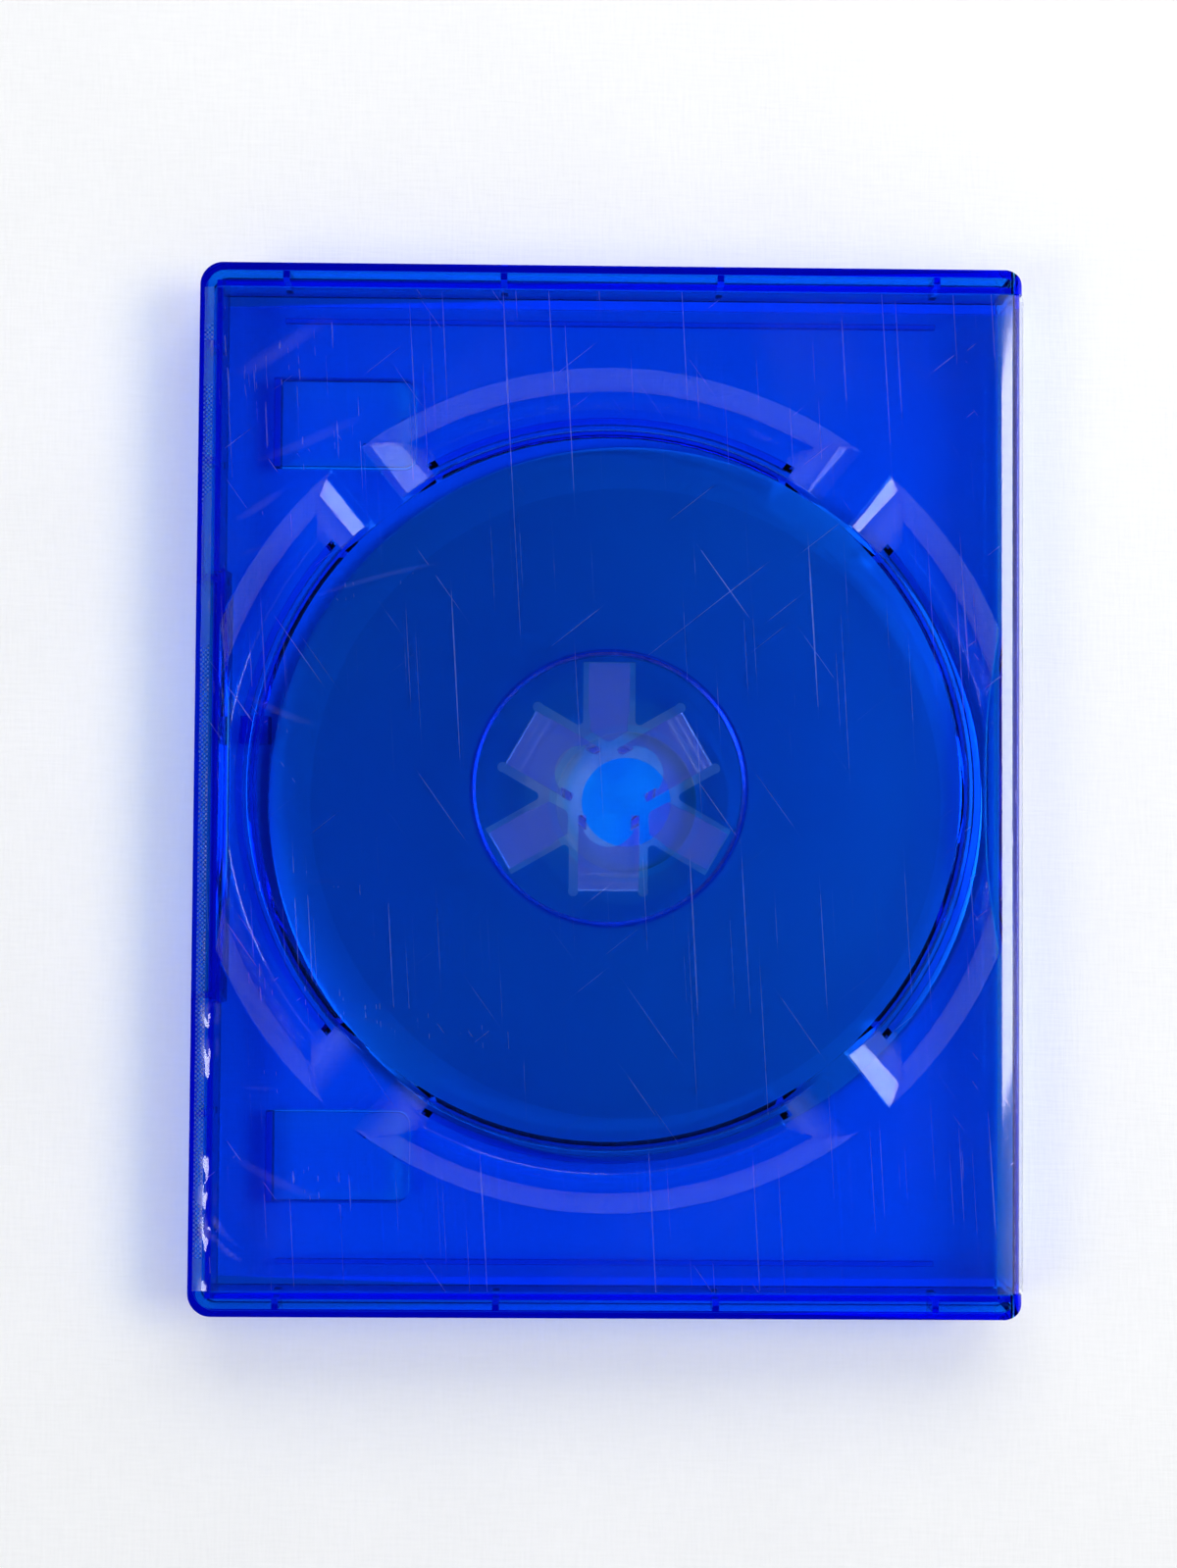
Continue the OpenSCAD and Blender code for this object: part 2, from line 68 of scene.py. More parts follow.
def applyAll(piece):
    makeActive(piece)
    for modifier in list(piece.modifiers):
        bpy.ops.object.modifier_apply(modifier=modifier.name)


def settle(piece):
    # the place goes into the mesh, and the object ends at the origin
    makeActive(piece)
    bpy.ops.object.transform_apply(location=True, rotation=True, scale=True)


def newMaterial(name):
    material = bpy.data.materials.new(name)
    material.use_nodes = True
    tree = material.node_tree
    return material, tree.nodes, tree.links, tree.nodes["Principled BSDF"]


def mixColour(nodes, links, factor, first, second):
    mix = nodes.new("ShaderNodeMix")
    mix.data_type = "RGBA"
    links.new(factor, mix.inputs["Factor"])
    for socket, value in ((mix.inputs[6], first), (mix.inputs[7], second)):
        if isinstance(value, bpy.types.NodeSocket):
            links.new(value, socket)
        else:
            socket.default_value = value
    return mix.outputs[2]


def maths(nodes, links, operation, first, second=0.0, clamp=False):
    node = nodes.new("ShaderNodeMath")
    node.operation = operation
    node.use_clamp = clamp
    for socket, value in zip(node.inputs, (first, second)):
        if isinstance(value, bpy.types.NodeSocket):
            links.new(value, socket)
        else:
            socket.default_value = value
    return node.outputs[0]


def spread(nodes, links, value, low, high, outLow, outHigh):
    node = nodes.new("ShaderNodeMapRange")
    links.new(value, node.inputs["Value"])
    for name, number in (("From Min", low), ("From Max", high),
                         ("To Min", outLow), ("To Max", outHigh)):
        node.inputs[name].default_value = number
    return node.outputs["Result"]


# one shader group for the marks that handling leaves on plastic

def handlingMarks():
    marks = {
        # each set of hairlines: its turn, how much longer than wide, and how rare
        "hairs": ((0.06, 160.0, 0.75), (0.62, 110.0, 0.80), (-0.9, 90.0, 0.81)),
        "hairFade": 0.09,
        "cloudDetail": 2.0,
        "cloudRoughness": 0.65,
        "hazeFrom": 0.36,
        "hazeTo": 0.70,
    }
    group = bpy.data.node_groups.new("handlingMarks", "ShaderNodeTree")
    for name, kind in (("Vector", "NodeSocketVector"), ("Scratch Scale", "NodeSocketFloat"),
                       ("Haze Scale", "NodeSocketFloat")):
        group.interface.new_socket(name, in_out="INPUT", socket_type=kind)
    for name in ("Scratches", "Haze"):
        group.interface.new_socket(name, in_out="OUTPUT", socket_type="NodeSocketFloat")
    nodes, links = group.nodes, group.links
    inside = nodes.new("NodeGroupInput")
    outside = nodes.new("NodeGroupOutput")
    hairs = None
    for turn, longer, rare in marks["hairs"]:
        mapping = nodes.new("ShaderNodeMapping")
        mapping.vector_type = "TEXTURE"
        mapping.inputs["Rotation"].default_value[2] = turn
        mapping.inputs["Scale"].default_value = (1.0, longer, 1.0)
        links.new(inside.outputs["Vector"], mapping.inputs["Vector"])
        grain = nodes.new("ShaderNodeTexNoise")
        grain.inputs["Detail"].default_value = 0.0
        links.new(mapping.outputs["Vector"], grain.inputs["Vector"])
        links.new(inside.outputs["Scratch Scale"], grain.inputs["Scale"])
        drawn = spread(nodes, links, grain.outputs["Fac"], rare, rare + marks["hairFade"], 0.0, 1.0)
        hairs = drawn if hairs is None else maths(nodes, links, "MAXIMUM", hairs, drawn)
    cloud = nodes.new("ShaderNodeTexNoise")
    cloud.inputs["Detail"].default_value = marks["cloudDetail"]
    cloud.inputs["Roughness"].default_value = marks["cloudRoughness"]
    links.new(inside.outputs["Vector"], cloud.inputs["Vector"])
    links.new(inside.outputs["Haze Scale"], cloud.inputs["Scale"])
    haze = spread(nodes, links, cloud.outputs["Fac"], marks["hazeFrom"], marks["hazeTo"], 0.0, 1.0)
    links.new(hairs, outside.inputs["Scratches"])
    links.new(haze, outside.inputs["Haze"])
    return group


marksGroup = handlingMarks()


def addMarks(nodes, links, scratchScale, hazeScale):
    # gives the piece's own coordinates, and the group with its scratches and its haze
    coordinates = nodes.new("ShaderNodeTexCoord")
    marks = nodes.new("ShaderNodeGroup")
    marks.node_tree = marksGroup
    marks.inputs["Scratch Scale"].default_value = scratchScale
    marks.inputs["Haze Scale"].default_value = hazeScale
    links.new(coordinates.outputs["Object"], marks.inputs["Vector"])
    return coordinates.outputs["Object"], marks


def letLampsThrough(material, nodes, links, shader, tint, uprightTint=None):
    # lamps shine through the wall and take its colour, while the eye sees the glossy shader
    path = nodes.new("ShaderNodeLightPath")
    clear = nodes.new("ShaderNodeBsdfTransparent")
    clear.inputs["Color"].default_value = (*tint, 1)
    if uprightTint:
        # upright walls are seen edge on by the lamps, so they pass less of their light
        facing = nodes.new("ShaderNodeSeparateXYZ")
        links.new(nodes.new("ShaderNodeNewGeometry").outputs["Normal"], facing.inputs["Vector"])
        level = maths(nodes, links, "ABSOLUTE", facing.outputs["Z"])
        shade = mixColour(nodes, links, level, (*uprightTint, 1), (*tint, 1))
        links.new(shade, clear.inputs["Color"])
    mix = nodes.new("ShaderNodeMixShader")
    links.new(path.outputs["Is Shadow Ray"], mix.inputs["Fac"])
    links.new(shader.outputs["BSDF"], mix.inputs[1])
    links.new(clear.outputs["BSDF"], mix.inputs[2])
    links.new(mix.outputs["Shader"], nodes["Material Output"].inputs["Surface"])


# materials

def bluePlastic(name, kind):
    # tinted at both faces of a wall, and deeper blue where the light runs along inside it
    look = {
        "flowScale": 18.0,
        "flowDetail": 2.0,
        "flowFrom": 0.35,
        "flowTo": 0.70,
        "lampTint": (0.31, 0.85, 1.0),
        "uprightTint": (0.50, 0.63, 0.73),
        "inside": (0.0, 0.45, 0.985, 1),
        "density": 560.0,
        "ior": 1.49,
    }
    material, nodes, links, shader = newMaterial(name)
    coordinates = nodes.new("ShaderNodeTexCoord")
    flow = nodes.new("ShaderNodeTexNoise")
    flow.inputs["Scale"].default_value = look["flowScale"]
    flow.inputs["Detail"].default_value = look["flowDetail"]
    links.new(coordinates.outputs["Object"], flow.inputs["Vector"])
    amount = spread(nodes, links, flow.outputs["Fac"], look["flowFrom"], look["flowTo"], 0.0, 1.0)
    links.new(mixColour(nodes, links, amount, kind["deep"], kind["pale"]), shader.inputs["Base Color"])
    shader.inputs["Roughness"].default_value = kind["roughness"]
    shader.inputs["IOR"].default_value = look["ior"]
    shader.inputs["Transmission Weight"].default_value = kind["transmission"]
    letLampsThrough(material, nodes, links, shader, look["lampTint"], look["uprightTint"])
    depth = nodes.new("ShaderNodeVolumeAbsorption")
    depth.inputs["Color"].default_value = look["inside"]
    depth.inputs["Density"].default_value = look["density"]
    links.new(depth.outputs["Volume"], nodes["Material Output"].inputs["Volume"])
    return material


def clearFilm():
    look = {
        "clean": (0.985, 0.99, 1.0, 1),
        "worn": (0.90, 0.93, 1.0, 1),
        "lampTint": (0.98, 0.985, 1.0),
        "ior": 1.5,
        "roughest": 0.62,
        "scratchScale": 3600.0,
        "hazeScale": 42.0,
        "hairs": 0.6,
        "pressedFrom": 68.4,
        "pressedTo": 69.4,
        "pressed": 0.16,
        "leastHaze": 0.12,
        "weldTo": -65.2,
        "weldPitch": 0.75,
        "betweenDots": 0.35,
    }
    material, nodes, links, shader = newMaterial("clearFilm")
    place, marks = addMarks(nodes, links, look["scratchScale"], look["hazeScale"])
    inMillimetres = nodes.new("ShaderNodeVectorMath")
    inMillimetres.operation = "SCALE"
    links.new(place, inMillimetres.inputs[0])
    inMillimetres.inputs["Scale"].default_value = perMetre
    flat = nodes.new("ShaderNodeVectorMath")
    flat.operation = "MULTIPLY"
    links.new(inMillimetres.outputs["Vector"], flat.inputs[0])
    flat.inputs[1].default_value = (1.0, 1.0, 0.0)
    reach = nodes.new("ShaderNodeVectorMath")
    reach.operation = "LENGTH"
    links.new(flat.outputs["Vector"], reach.inputs[0])
    # the film is frosted where it is pressed to the panel and stays clear over the open well
    pressed = spread(nodes, links, reach.outputs["Value"],
                     look["pressedFrom"], look["pressedTo"], 0.0, look["pressed"])
    haze = maths(nodes, links, "ADD", marks.outputs["Haze"], look["leastHaze"])
    cloudy = maths(nodes, links, "MULTIPLY", pressed, haze)
    # the welded strip is knurled in small dots
    split = nodes.new("ShaderNodeSeparateXYZ")
    links.new(inMillimetres.outputs["Vector"], split.inputs["Vector"])
    waves = []
    for axis in ("X", "Y"):
        turns = maths(nodes, links, "MULTIPLY", split.outputs[axis], 2 * math.pi / look["weldPitch"])
        waves.append(maths(nodes, links, "SINE", turns))
    dots = maths(nodes, links, "MULTIPLY", waves[0], waves[1], clamp=True)
    onWeld = maths(nodes, links, "LESS_THAN", split.outputs["X"], look["weldTo"])
    raised = maths(nodes, links, "ADD", dots, look["betweenDots"])
    knurl = maths(nodes, links, "MULTIPLY", onWeld, raised)
    hairs = maths(nodes, links, "MULTIPLY", marks.outputs["Scratches"], look["hairs"])
    wear = maths(nodes, links, "MAXIMUM", hairs, maths(nodes, links, "ADD", cloudy, knurl))
    links.new(mixColour(nodes, links, wear, look["clean"], look["worn"]), shader.inputs["Base Color"])
    links.new(spread(nodes, links, wear, 0.0, 1.0, 0.0, look["roughest"]), shader.inputs["Roughness"])
    shader.inputs["IOR"].default_value = look["ior"]
    # plain, so that the export reads it
    shader.inputs["Transmission Weight"].default_value = 1.0  # kept plain, not driven by nodes
    letLampsThrough(material, nodes, links, shader, look["lampTint"])
    return material


def discCentre():
    look = {
        "clean": (0.9, 0.92, 0.95, 1),
        "worn": (0.8, 0.82, 0.86, 1),
        "lampTint": (0.93, 0.94, 0.96),
        "scratchScale": 1500.0,
        "hazeScale": 60.0,
        "smoothest": 0.03,
        "roughest": 0.1,
        "ior": 1.58,
        "transmission": 0.95,
    }
    material, nodes, links, shader = newMaterial("discClear")
    marks = addMarks(nodes, links, look["scratchScale"], look["hazeScale"])[1]
    haze = marks.outputs["Haze"]
    links.new(mixColour(nodes, links, haze, look["clean"], look["worn"]), shader.inputs["Base Color"])
    links.new(spread(nodes, links, haze, 0.0, 1.0, look["smoothest"], look["roughest"]),
              shader.inputs["Roughness"])
    shader.inputs["IOR"].default_value = look["ior"]
    shader.inputs["Transmission Weight"].default_value = look["transmission"]
    letLampsThrough(material, nodes, links, shader, look["lampTint"])
    return material


def discMirror():
    look = {
        "data": (0.22, 0.36, 0.80, 1),
        "edge": (0.26, 0.42, 0.88, 1),
        "inner": (0.18, 0.42, 0.86, 1),
        "innerTo": 13.0,
        "dataTo": 53.0,
        "roughness": 0.34,
        "coat": 0.6,
        "coatRoughness": 0.05,
    }
    material, nodes, links, shader = newMaterial("discMirror")
    place = nodes.new("ShaderNodeTexCoord").outputs["Object"]
    middle = nodes.new("ShaderNodeMapping")
    low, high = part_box("game_disc")
    middle.inputs["Location"].default_value = (-(low.x + high.x) / 2, -(low.y + high.y) / 2, 0)
    middle.inputs["Scale"].default_value = (1, 1, 0)
    links.new(place, middle.inputs["Vector"])
    length = nodes.new("ShaderNodeVectorMath")
    length.operation = "LENGTH"
    links.new(middle.outputs["Vector"], length.inputs[0])
    radius = maths(nodes, links, "MULTIPLY", length.outputs["Value"], perMetre)
    atEdge = maths(nodes, links, "GREATER_THAN", radius, look["dataTo"])
    atHole = maths(nodes, links, "LESS_THAN", radius, look["innerTo"])
    colour = mixColour(nodes, links, atEdge, look["data"], look["edge"])
    colour = mixColour(nodes, links, atHole, colour, look["inner"])
    links.new(colour, shader.inputs["Base Color"])
    shader.inputs["Roughness"].default_value = look["roughness"]
    shader.inputs["Metallic"].default_value = 1.0
    shader.inputs["Coat Weight"].default_value = look["coat"]
    shader.inputs["Coat Roughness"].default_value = look["coatRoughness"]
    return material


def discLabel():
    # the label side is plain: one soft printed grey, a little cloudy and scratched
    look = {
        "clean": (0.62, 0.64, 0.68, 1),
        "worn": (0.56, 0.58, 0.62, 1),
        "scratchScale": 1500.0,
        "hazeScale": 40.0,
        "smoothest": 0.32,
        "roughest": 0.5,
    }
    material, nodes, links, shader = newMaterial("discLabel")
    marks = addMarks(nodes, links, look["scratchScale"], look["hazeScale"])[1]
    colour = mixColour(nodes, links, marks.outputs["Haze"], look["clean"], look["worn"])
    links.new(colour, shader.inputs["Base Color"])
    links.new(spread(nodes, links, marks.outputs["Scratches"], 0.0, 1.0,
                     look["smoothest"], look["roughest"]), shader.inputs["Roughness"])
    return material


# the walls are clear, and the hub's claws and tongues are paler and a little dull: partly their own
# lilac-grey milky tone, and partly a painted highlight, since the paler, frostier colour also stands in
# for the light their humps catch
wallKind = {"roughness": 0.0, "transmission": 1.0,
            "deep": (0.11, 0.65, 1.0, 1), "pale": (0.15, 0.73, 1.0, 1)}
hubKind = {"roughness": 0.12, "transmission": 0.968,
           "deep": (0.40, 0.56, 1.0, 1), "pale": (0.50, 0.64, 1.0, 1)}
plastic = bluePlastic("bluePlastic", wallKind)
hubPlastic = bluePlastic("bluePlasticHub", hubKind)
film = clearFilm()
for name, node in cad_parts.items():
    if not name.endswith("_film") and name != "game_disc":
        node.data.materials.clear()
        onHub = name.startswith(("grip_claw", "lift_tongue"))
        node.data.materials.append(hubPlastic if onHub else plastic)
print("stage: materials made and given to the moulding")


# the loose disc, spun from rings about its own centre

def looseDisc():
    disc = {
        "rings": [7.5, 9.4, 9.6, 10.5, 10.7, 11.8, 16.4, 16.9, 17.4, 17.9, 22.0, 53.0, 59.4, 60.0],
        "steps": [0.0, 0.0, -0.05, -0.05, 0.0, 0.0, 0.0, 0.04, 0.04, 0.0, 0.0, 0.0, 0.0, -0.12],
        "clearTo": 11.8,
        "clearSpare": 0.05,
        "segments": 160,
        "topDrop": 0.15,
        "thinner": 0.16,
        "smoothAngle": 20,
    }
    low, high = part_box("game_disc")
    centre = (low + high) / 2
    pickNone()
    bpy.ops.mesh.primitive_circle_add(vertices=disc["segments"], radius=disc["rings"][0] * mm,
                                      location=(centre.x, centre.y, high.z - disc["topDrop"] * mm))
    piece = bpy.context.object
    piece.name = "loose_disc"
    bpy.ops.object.mode_set(mode="EDIT")
    bpy.ops.mesh.select_all(action="SELECT")
    lastRadius, lastStep = disc["rings"][0], disc["steps"][0]
    for radius, step in zip(disc["rings"][1:], disc["steps"][1:]):
        bpy.ops.mesh.extrude_edges_move(
            TRANSFORM_OT_translate={"value": (0, 0, (step - lastStep) * mm)})
        grow = radius / lastRadius
        bpy.ops.transform.resize(value=(grow, grow, 1), center_override=(centre.x, centre.y, 0))
        lastRadius, lastStep = radius, step
    bpy.ops.mesh.select_all(action="SELECT")
    bpy.ops.mesh.normals_make_consistent(inside=False)
    bpy.ops.object.mode_set(mode="OBJECT")
    settle(piece)
    if piece.data.polygons[0].normal.z < 0:
        piece.data.flip_normals()
    thick = piece.modifiers.new("thickness", "SOLIDIFY")
    thick.thickness = high.z - low.z - disc["thinner"] * mm
    thick.offset = -1
    applyAll(piece)
    for material in (discCentre(), discMirror(), discLabel()):
        piece.data.materials.append(material)
    middleZ = (low.z + high.z) / 2
    for face in piece.data.polygons:
        flat = Vector((face.center.x - centre.x, face.center.y - centre.y, 0)).length / mm
        if flat < disc["clearTo"] + disc["clearSpare"]:
            face.material_index = 0
        elif face.normal.z < -0.5 and face.center.z < middleZ:
            face.material_index = 2
        else:
            face.material_index = 1
    makeActive(piece)
    bpy.ops.object.shade_smooth_by_angle(angle=math.radians(disc["smoothAngle"]))
    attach(piece, "front_cover")
    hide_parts("game_disc")


looseDisc()
print("stage: disc made")


# the clear sleeve: one sheet for each cover, running round to the middle of the spine

sleeve = {
    "weldX": -66.7,
    "stripEndX": -65.2,
    "bedX": -64.3,
    "humpFromX": 55.5,
    "humpX": 62.6,
    "humpHigh": 0.8,
    "shoulderX": 66.5,
    "bulgeX": 68.25,
    "cornerDrop": 3.4,
    "seamX": 67.35,
    "lift": 0.03,
    "ripple": 1.0,
    "rippleReach": 1.7,
    "slack": 0.20,
    "creaseGain": 1.8,
    "pressed": 0.12,
    "tightShare": 0.35,
    "tightFromY": -22.0,
    "tightOver": 16.0,
    "waveFloor": 0.45,
    "slackFloor": 0.25,
    "calmOver": 8.0,
    "bedOver": 1.2,
    "weldWander": 0.45,
    "cornerStart": 11,
    "steps": 8,
    "thickness": 0.06,
    "columns": 200,
    "rows": 220,
    "smoothAngle": 50,
    "blendStart": (1.2, 2.6),
    "blendEnd": (2.6, 0.8),
}


def sleeveLine(bedZ, stripZ, middleZ, hump):
    # the sheet's line across the case, from the weld to the middle of the spine
    points = [(sleeve["weldX"], stripZ), (sleeve["stripEndX"], stripZ), (sleeve["bedX"], bedZ)]
    steps = sleeve["steps"]
    for i in range(steps + 1):
        x = sleeve["humpFromX"] + (sleeve["humpX"] - sleeve["humpFromX"]) * i / steps
        points.append((x, bedZ + hump * (1 - math.cos(math.pi * i / steps)) / 2))
    for i in range(1, steps + 1):
        x = sleeve["humpX"] + (sleeve["shoulderX"] - sleeve["humpX"]) * i / steps
        points.append((x, bedZ + hump * (1 - (i / steps) ** 2)))
    wide = sleeve["bulgeX"] - sleeve["shoulderX"]
    first = math.radians(sleeve["cornerStart"])
    for i in range(1, steps + 1):
        turn = first + (math.pi / 2 - first) * i / steps
        x = sleeve["shoulderX"] + wide * (math.sin(turn) - math.sin(first)) / (1 - math.sin(first))
        z = bedZ - sleeve["cornerDrop"] * (1 - math.cos(turn) / math.cos(first))
        points.append((x, z))
    points.append((sleeve["seamX"], middleZ))
    return points


def alongLine(points, share):
    # the place at a share of the line's whole length
    lengths = [math.dist(a, b) for a, b in zip(points, points[1:])]
    target = share * sum(lengths)
    for a, b, length in zip(points, points[1:], lengths):
        if target <= length or b == points[-1]:
            part = min(1.0, target / length)
            return a[0] + (b[0] - a[0]) * part, a[1] + (b[1] - a[1]) * part
        target -= length


def ridge(x, y, line, width, height):
    # a soft crease along a bent line given by its ends and its sag
    (x0, y0), (x1, y1), sag = line
    dx, dy = x1 - x0, y1 - y0
    length = math.hypot(dx, dy)
    along = ((x - x0) * dx + (y - y0) * dy) / length
    if along < 0 or along > length:
        return 0.0
    share = along / length
    off = ((x - x0) * dy - (y - y0) * dx) / length - sag * 4 * share * (1 - share)
    return height * math.exp(-(off / width) ** 2) * math.sin(math.pi * share) ** 0.7


# wrinkles of the film, each with its two ends and its sag, then its half width and its height
wrinkles = [
    (((-56, 27), (-20, 37), -1.2), 0.9, 0.20),
    (((-64, 35), (-50, 39), -0.8), 0.9, 0.16),
    (((-63, 41), (-51, 49), 0.6), 1.6, 0.26),
    (((-62, 50), (-37, 61), 0.8), 2.0, 0.26),
    (((-63, 64), (-45, 76), 0.8), 2.6, 0.34),
    (((-63, 16), (-44, 8), 1.4), 1.5, 0.32),
    (((-64, 5), (-43, 1), 0.6), 1.2, 0.20),
    (((-65, -9), (-56, -11), 0.3), 0.9, 0.22),
    (((-65, -17), (-28, -19), -1.6), 1.1, 0.24),
    (((-65, -29), (-10, -42), 1.4), 1.5, 0.30),
    (((-65, -46), (-48, -48), 0.8), 1.4, 0.28),
    (((-65, -55), (-40, -67), 1.2), 2.2, 0.42),
    (((-65, -69), (-57, -77), 0.8), 0.8, 0.34),
]


def sheetLift(x, y, side):
    # how far the film stands off its bed, in millimetres
    away = max(0.0, x - sleeve["bedX"])
    # tight over most of its length, and looser towards the photo's bottom edge
    past = min(1.0, max(0.0, (sleeve["tightFromY"] - y * side) / sleeve["tightOver"]))
    loose = sleeve["tightShare"] + (1 - sleeve["tightShare"]) * past
    wave = noise.noise(Vector((y * 0.13, side * 5.0, 1.7)))
    wave += 0.7 * noise.noise(Vector((y * 0.34, side * 3.0 + x * 0.05, 4.2)))
    reach = math.exp(-away / sleeve["rippleReach"])
    lift = sleeve["ripple"] * loose * reach * max(0.0, sleeve["waveFloor"] + wave)
    broad = noise.noise(Vector((x * 0.018, y * 0.022, 9.0 + side)))
    lift += sleeve["slack"] * max(0.0, broad + sleeve["slackFloor"])
    for line, width, height in wrinkles:
        lift += ridge(x, y * side, line, width, height * sleeve["creaseGain"])
    # the case's own weight presses the lower sheet nearly flat
    return lift if side > 0 else lift * sleeve["pressed"]


def sleeveSheet(name, filmNode, side, replaced):
    low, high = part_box(filmNode)
    spineLow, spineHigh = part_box("spine")
    middleZ = (spineLow.z + spineHigh.z) / 2 / mm
    bedZ = (high.z / mm if side > 0 else low.z / mm) - side * 0.5 * sleeve["thickness"]
    stripZ = (spineHigh.z if side > 0 else spineLow.z) / mm + side * sleeve["lift"]
    halfHeight = (high.y - low.y) / 2 / mm
    pickNone()
    bpy.ops.mesh.primitive_grid_add(
        x_subdivisions=sleeve["columns"], y_subdivisions=sleeve["rows"], size=2)
    piece = bpy.context.object
    piece.name = name
    hump = sleeve["humpHigh"] * (1 if side > 0 else sleeve["pressed"])
    points = sleeveLine(bedZ * side, stripZ * side, middleZ * side, hump)
    for vertex in piece.data.vertices:
        u, v = (vertex.co.x + 1) / 2, vertex.co.y
        x, z = alongLine(points, u)
        y = v * halfHeight
        if x < sleeve["humpX"] and u < 0.9:
            onBed = min(1.0, max(0.0, (x - sleeve["stripEndX"]) / sleeve["bedOver"]))
            calm = min(1.0, (sleeve["humpX"] - x) / sleeve["calmOver"])
            z += sheetLift(x, y, side) * onBed * calm
        if x < sleeve["bedX"]:
            # the weld wanders a little along its length, its outermost edge less
            share = 1 if u > 0.002 else 0.3
            x += sleeve["weldWander"] * noise.noise(Vector((y * 0.2, 3.0 + side, 0.0))) * share
        vertex.co = (x * mm, y * mm, z * side * mm)
    if side < 0:
        piece.data.flip_normals()
    thick = piece.modifiers.new("thickness", "SOLIDIFY")
    thick.thickness = sleeve["thickness"] * mm
    thick.offset = 0
    applyAll(piece)
    makeActive(piece)
    bpy.ops.object.shade_smooth_by_angle(angle=math.radians(sleeve["smoothAngle"]))
    piece.data.materials.append(film)
    # the sheet goes over from the spine to its cover across the hinge
    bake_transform(piece)
    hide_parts(*replaced)


sleeveSheet("rear_sleeve", "rear_film", 1, ["rear_film"])
sleeveSheet("front_sleeve", "front_film", -1, ["front_film", "spine_film"])
print("stage: sleeve made")


# the cloth the case lies on

cloth = {
    "size": 2.4,
    "stretches": ((1.0, 0.12, 1.0), (0.12, 1.0, 1.0)),
    "threadScale": 1700.0,
    "cloudScale": 26.0,
    "cloudDetail": 4.0,
    "weaveShare": 0.28,
    "cloudShare": 0.5,
    "dull": (0.84, 0.845, 0.85, 1),
    "bright": (0.97, 0.97, 0.97, 1),
    "roughness": 0.9,
    "specular": 0.1,
    "bump": 0.3,
    "threadHigh": 0.00015,
}


def clothMaterial():
    # fine threads both ways, under a soft unevenness
    material, nodes, links, shader = newMaterial("whiteCloth")
    coordinates = nodes.new("ShaderNodeTexCoord")
    threads = []
    for stretch in cloth["stretches"]:
        mapping = nodes.new("ShaderNodeMapping")
        mapping.inputs["Scale"].default_value = stretch
        links.new(coordinates.outputs["Object"], mapping.inputs["Vector"])
        thread = nodes.new("ShaderNodeTexNoise")
        thread.inputs["Scale"].default_value = cloth["threadScale"]
        thread.inputs["Detail"].default_value = 1.0
        links.new(mapping.outputs["Vector"], thread.inputs["Vector"])
        threads.append(thread.outputs["Fac"])
    weave = maths(nodes, links, "ADD", threads[0], threads[1])
    cloud = nodes.new("ShaderNodeTexNoise")
    cloud.inputs["Scale"].default_value = cloth["cloudScale"]
    cloud.inputs["Detail"].default_value = cloth["cloudDetail"]
    links.new(coordinates.outputs["Object"], cloud.inputs["Vector"])
    fine = maths(nodes, links, "MULTIPLY", weave, cloth["weaveShare"])
    broad = maths(nodes, links, "MULTIPLY", cloud.outputs["Fac"], cloth["cloudShare"])
    amount = maths(nodes, links, "ADD", fine, broad, clamp=True)
    links.new(mixColour(nodes, links, amount, cloth["dull"], cloth["bright"]),
              shader.inputs["Base Color"])
    shader.inputs["Roughness"].default_value = cloth["roughness"]
    shader.inputs["Specular IOR Level"].default_value = cloth["specular"]
    bump = nodes.new("ShaderNodeBump")
    bump.inputs["Strength"].default_value = cloth["bump"]
    bump.inputs["Distance"].default_value = cloth["threadHigh"]
    links.new(weave, bump.inputs["Height"])
    links.new(bump.outputs["Normal"], shader.inputs["Normal"])
    return material


def clothFloor():
    pickNone()
    bpy.ops.mesh.primitive_plane_add(size=cloth["size"], location=(0, 0, 0))
    floor = bpy.context.object
    floor.name = "cloth"
    floor.data.materials.append(clothMaterial())


clothFloor()
print("stage: cloth made")


# light and camera

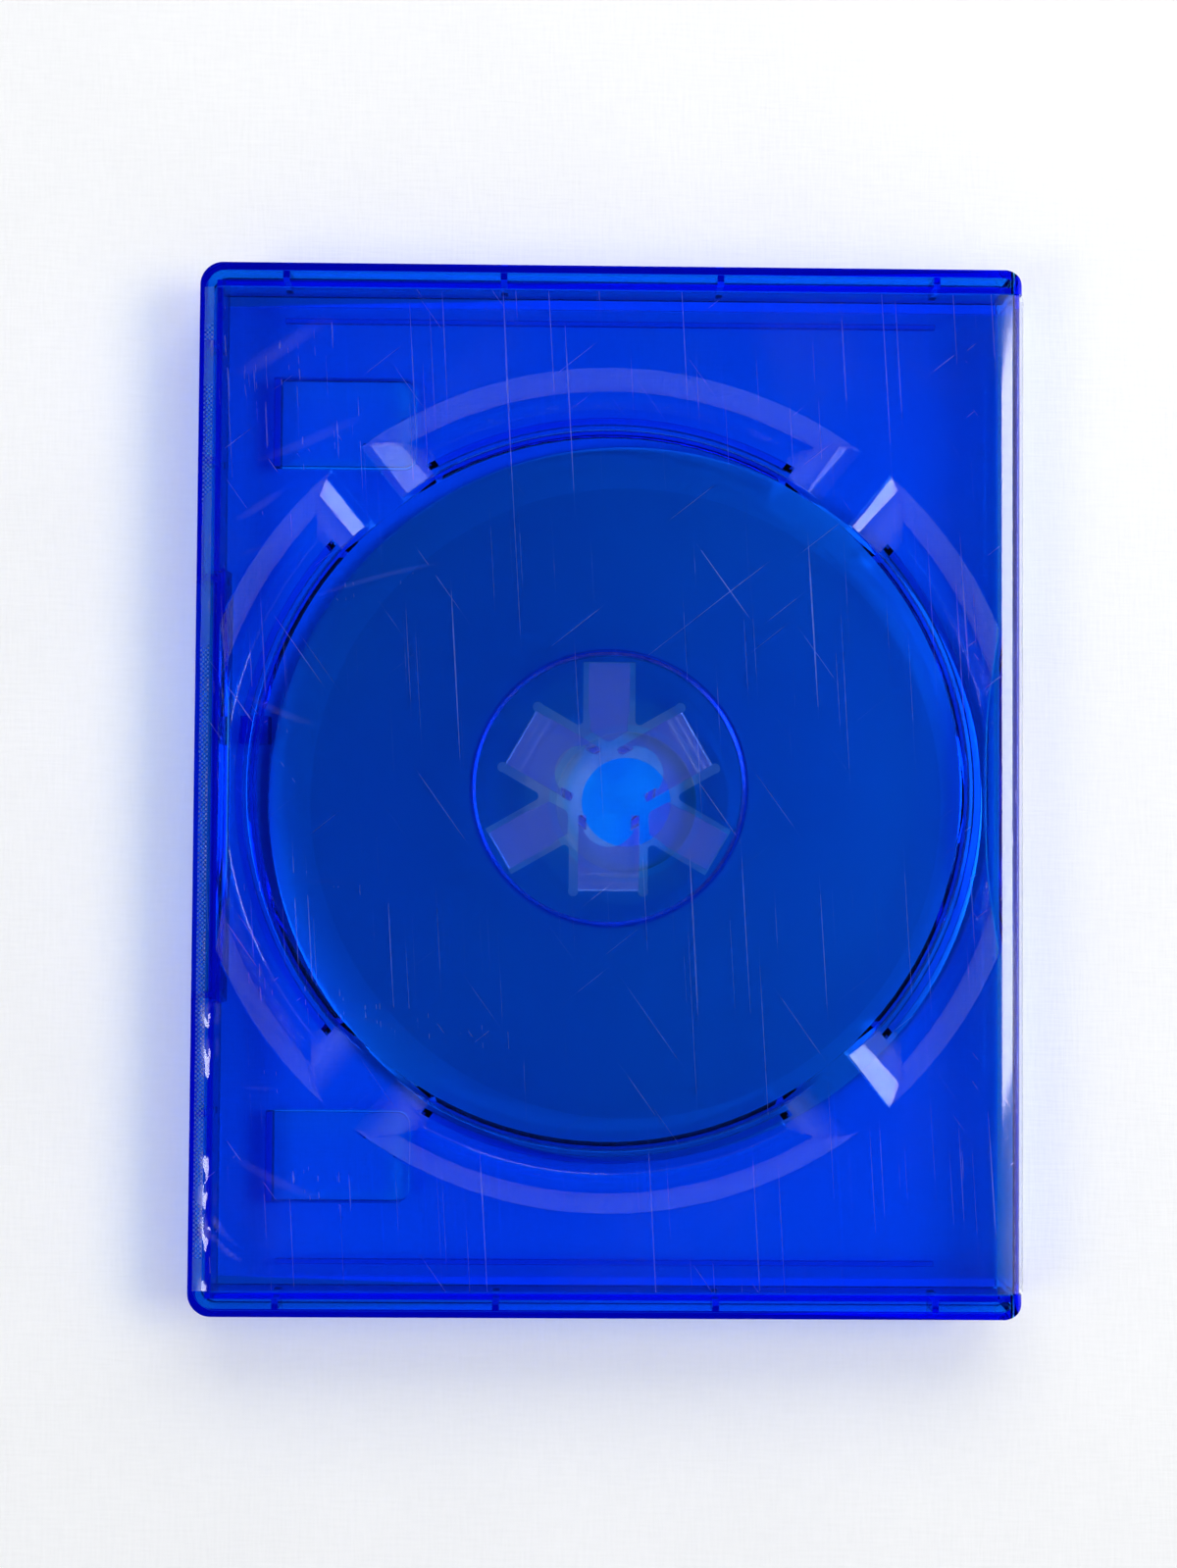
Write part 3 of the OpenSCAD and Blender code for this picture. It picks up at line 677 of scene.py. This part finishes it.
def softWorld():
    # even light from the sides, with a dim patch straight overhead, which is what the flat film mirrors
    sky = {"side": (0.72, 0.73, 0.75, 1), "top": (0.004, 0.010, 0.030, 1), "white": (1, 1, 1, 1),
           "patchFrom": 0.50, "patchTo": 0.90, "patchAt": (-0.126, -0.059, 0.990)}
    world = bpy.data.worlds.new("softRoom")
    scene.world = world
    world.use_nodes = True
    nodes, links = world.node_tree.nodes, world.node_tree.links
    coordinates = nodes.new("ShaderNodeTexCoord")
    facing = nodes.new("ShaderNodeVectorMath")
    facing.operation = "DOT_PRODUCT"
    links.new(coordinates.outputs["Generated"], facing.inputs[0])
    facing.inputs[1].default_value = sky["patchAt"]
    height = spread(nodes, links, facing.outputs["Value"], sky["patchFrom"], sky["patchTo"], 0.0, 1.0)
    path = nodes.new("ShaderNodeLightPath")
    side = mixColour(nodes, links, path.outputs["Is Transmission Ray"], sky["side"], sky["white"])
    room = mixColour(nodes, links, height, side, sky["top"])
    links.new(mixColour(nodes, links, path.outputs["Is Camera Ray"], room, sky["white"]),
              nodes["Background"].inputs["Color"])


def softLamp(name, bearing, lean, size, power, tint=(1, 1, 1), mirrored=True):
    # a window of the room: its bearing from +X and its lean from straight overhead, in degrees
    away = 0.95
    bearing, lean = math.radians(bearing), math.radians(lean)
    data = bpy.data.lights.new(name, "AREA")
    data.shape = "RECTANGLE"
    data.size, data.size_y = size
    data.energy = power
    data.color = tint
    lamp = bpy.data.objects.new(name, data)
    lamp.visible_glossy = mirrored
    scene.collection.objects.link(lamp)
    lamp.location = (away * math.sin(lean) * math.cos(bearing),
                     away * math.sin(lean) * math.sin(bearing), away * math.cos(lean))
    lamp.rotation_euler = (-lamp.location).to_track_quat("-Z", "Y").to_euler()


def photoCamera():
    view = {"place": (-7.86, -10.18, 353.1), "turn": (1.821, -0.768, 0.406),
            "lens": 47.84, "sensor": 36, "clipStart": 0.01}
    data = bpy.data.cameras.new("camera")
    data.sensor_width = view["sensor"]
    data.lens = view["lens"]
    data.clip_start = view["clipStart"]
    camera = bpy.data.objects.new("camera", data)
    scene.collection.objects.link(camera)
    camera.location = Vector(view["place"]) * mm
    camera.rotation_euler = [math.radians(a) for a in view["turn"]]
    scene.camera = camera


softWorld()
softLamp("windowRight", 6, 42, (0.44, 0.34), 3.9, (1.0, 0.99, 0.97))
softLamp("windowLeft", 205, 42, (0.30, 0.30), 1.9, (0.95, 0.97, 1.0))
softLamp("wallGlow", 80, 50, (1.0, 0.5), 3.9, mirrored=False)
photoCamera()
scene.view_settings.view_transform = "Standard"
scene.cycles.transparent_max_bounces = 16
scene.cycles.transmission_bounces = 11
scene.cycles.diffuse_bounces = 1
scene.cycles.max_bounces = 11
scene.cycles.adaptive_threshold = 0.1
print("stage: light and camera placed")
